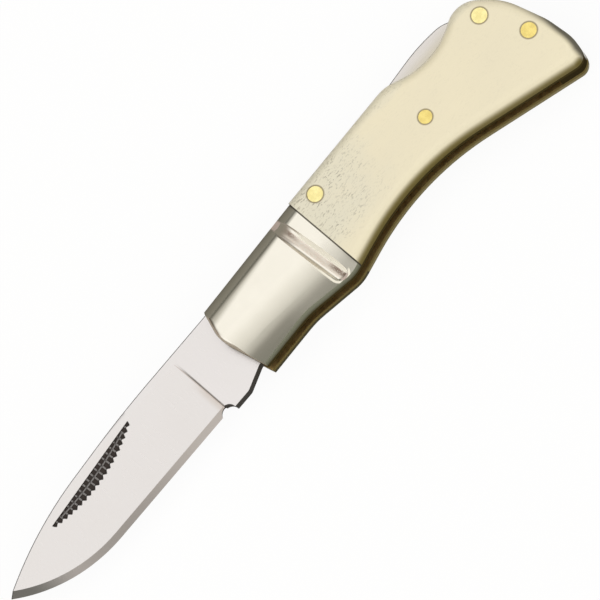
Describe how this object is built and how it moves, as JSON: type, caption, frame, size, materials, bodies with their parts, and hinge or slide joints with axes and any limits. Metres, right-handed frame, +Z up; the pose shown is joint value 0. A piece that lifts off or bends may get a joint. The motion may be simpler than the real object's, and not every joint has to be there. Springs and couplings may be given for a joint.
{
  "type": "folding pocket knife",
  "caption": "Small lock-back folding pocket knife: drop-point blade with a long nail pull, polished bolsters, pinned bone scales over brass liners, thumb cut-out over the lock bar.",
  "frame": {"origin": "under the middle of the open knife, on the face of the back scale it lies on", "axes": "+X from the blade's tip to the butt, +Y towards the spine, +Z up through the front scale"},
  "size_m": [0.1212, 0.0222, 0.009],
  "materials": {
    "steel": "satin polish",
    "nickel_silver": "polished",
    "bone": "smooth bone",
    "brass": "polished"
  },
  "bodies": {
    "handle": {"lock_spring": "steel", "butt_spacer": "steel", "front_bolster": "nickel_silver", "back_bolster": "nickel_silver", "blade_pivot_pin": "nickel_silver", "front_scale": "bone", "back_scale": "bone", "front_liner": "brass", "back_liner": "brass", "front_scale_rivet": "brass", "back_scale_rivet": "brass", "lock_bar_pin": "brass", "spacer_pin_spine": "brass", "spacer_pin_butt": "brass"},
    "blade": {"blade": "steel"},
    "lock_bar": {"lock_bar": "steel"}
  },
  "joints": [
    {"name": "blade_fold", "type": "hinge", "parent": "handle", "child": "blade", "pos_m": [-0.00297, 0.00055, 0.0045], "axis": [0, 0, 1], "range_deg": [0, 180]},
    {"name": "lock_bar_rock", "type": "hinge", "parent": "handle", "child": "lock_bar", "pos_m": [0.01709, 0.00711, 0.0045], "axis": [0, 0, -1], "range_deg": [-1.55, 1], "stiffness_Nm_per_rad": 0.1, "springref_deg": -1.55, "deforming": ["lock_spring"]}
  ]
}
